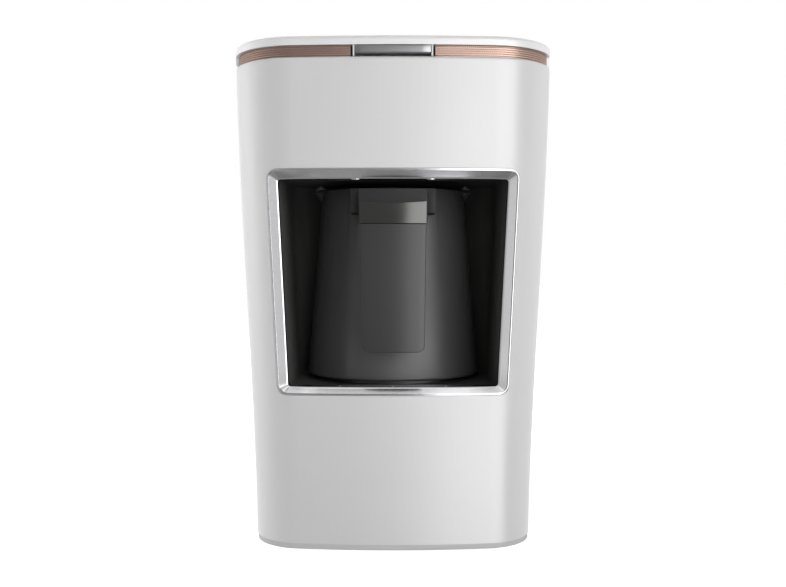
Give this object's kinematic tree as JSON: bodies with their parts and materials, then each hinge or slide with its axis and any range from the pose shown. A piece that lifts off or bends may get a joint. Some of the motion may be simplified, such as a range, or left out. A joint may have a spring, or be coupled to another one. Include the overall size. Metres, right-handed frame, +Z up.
{
  "type": "electric turkish coffee maker",
  "caption": "Countertop Turkish coffee maker: flared white housing with a framed front chamber, a lift-out handled pot on a hot plate, and a push bar set in a perforated band under the lid.",
  "frame": {"origin": "middle of the object's footprint on the table, at the underside of the rubber feet", "axes": "+Z up; the front with the window faces -Y; +X is to the right as seen from the front"},
  "size_m": [0.1618, 0.19, 0.25],
  "materials": {
    "white_shell": "glossy moulded white",
    "grey_base": "matte grey",
    "frame_chrome": "satin plated",
    "bar_metal": "satin grey metal",
    "band_copper": "perforated, copper toned",
    "chamber_black": "satin black",
    "pot_black": "semi-gloss black coat",
    "handle_black": "satin black",
    "handle_face_black": "smooth black",
    "heater_metal": "dark anodised",
    "base_metal": "turned",
    "plain_steel": "plain",
    "screw_steel": "zinc plated",
    "black_rubber": "matte",
    "inner_plastic": "matte",
    "board_green": "laminate",
    "transformer_core": "varnished",
    "sensor_clear": "smoked clear",
    "wire_sleeve": "silicone sleeve"
  },
  "bodies": {
    "machine": {"body_shell": "white_shell", "rear_cover": "white_shell", "top_cover": "white_shell", "button_housing": "white_shell", "base_plate": "grey_base", "window_frame": "frame_chrome", "vent_band_left": "band_copper", "vent_band_right": "band_copper", "chamber_liner": "chamber_black", "heater_plate": "heater_metal", "heater_element": "plain_steel", "heater_bracket": "plain_steel", "probe_spring": "plain_steel", "thermostat": "plain_steel", "button_springs": "plain_steel", "rear_screws": "screw_steel", "deck_screws": "screw_steel", "control_screws": "screw_steel", "frame_screws": "screw_steel", "sensor_board_screws": "screw_steel", "heater_screws": "screw_steel", "bracket_screws": "screw_steel", "base_screws": "screw_steel", "power_board_screws": "screw_steel", "rubber_feet": "black_rubber", "heater_seal": "black_rubber", "cord_gland": "black_rubber", "top_deck": "inner_plastic", "gland_nut": "inner_plastic", "key_switch": "inner_plastic", "buzzer": "inner_plastic", "relay": "inner_plastic", "terminal_block": "inner_plastic", "board_connector": "inner_plastic", "thermal_fuse": "inner_plastic", "capacitor": "inner_plastic", "control_board": "board_green", "sensor_board": "board_green", "power_board": "board_green", "transformer": "transformer_core", "foam_sensor_left": "sensor_clear", "foam_sensor_right": "sensor_clear", "status_leds": "sensor_clear", "heater_leads": "wire_sleeve", "board_harness": "wire_sleeve"},
    "pot": {"pot_body": "pot_black", "pot_base": "base_metal", "handle_bracket": "handle_black", "bracket_rivets": "plain_steel", "handle_face": "handle_face_black", "handle_band": "frame_chrome", "handle_grip": "handle_black", "handle_screw": "screw_steel"},
    "push_bar": {"button_bar": "bar_metal"},
    "plunger": {"switch_plunger": "inner_plastic"},
    "probe": {"temperature_probe": "heater_metal", "probe_clip": "plain_steel"}
  },
  "joints": [
    {"name": "pot_slide", "type": "slide", "parent": "machine", "child": "pot", "axis": [0, -1, 0], "range_m": [0, 0.16]},
    {"name": "button_press", "type": "slide", "parent": "machine", "child": "push_bar", "axis": [0, 1, 0], "range_m": [0, 0.001], "stiffness_N_per_m": 800, "springref_m": -0.002, "deforming": ["button_springs"]},
    {"name": "switch_press", "type": "slide", "parent": "machine", "child": "plunger", "axis": [0, 1, 0], "range_m": [0, 0.001]},
    {"name": "probe_press", "type": "slide", "parent": "machine", "child": "probe", "axis": [0, 0, -1], "range_m": [0, 0.0015], "stiffness_N_per_m": 600, "springref_m": -0.002, "deforming": ["probe_spring"]}
  ],
  "couplings": [
    {"joint": "switch_press", "follows": "button_press", "ratio": 1}
  ]
}
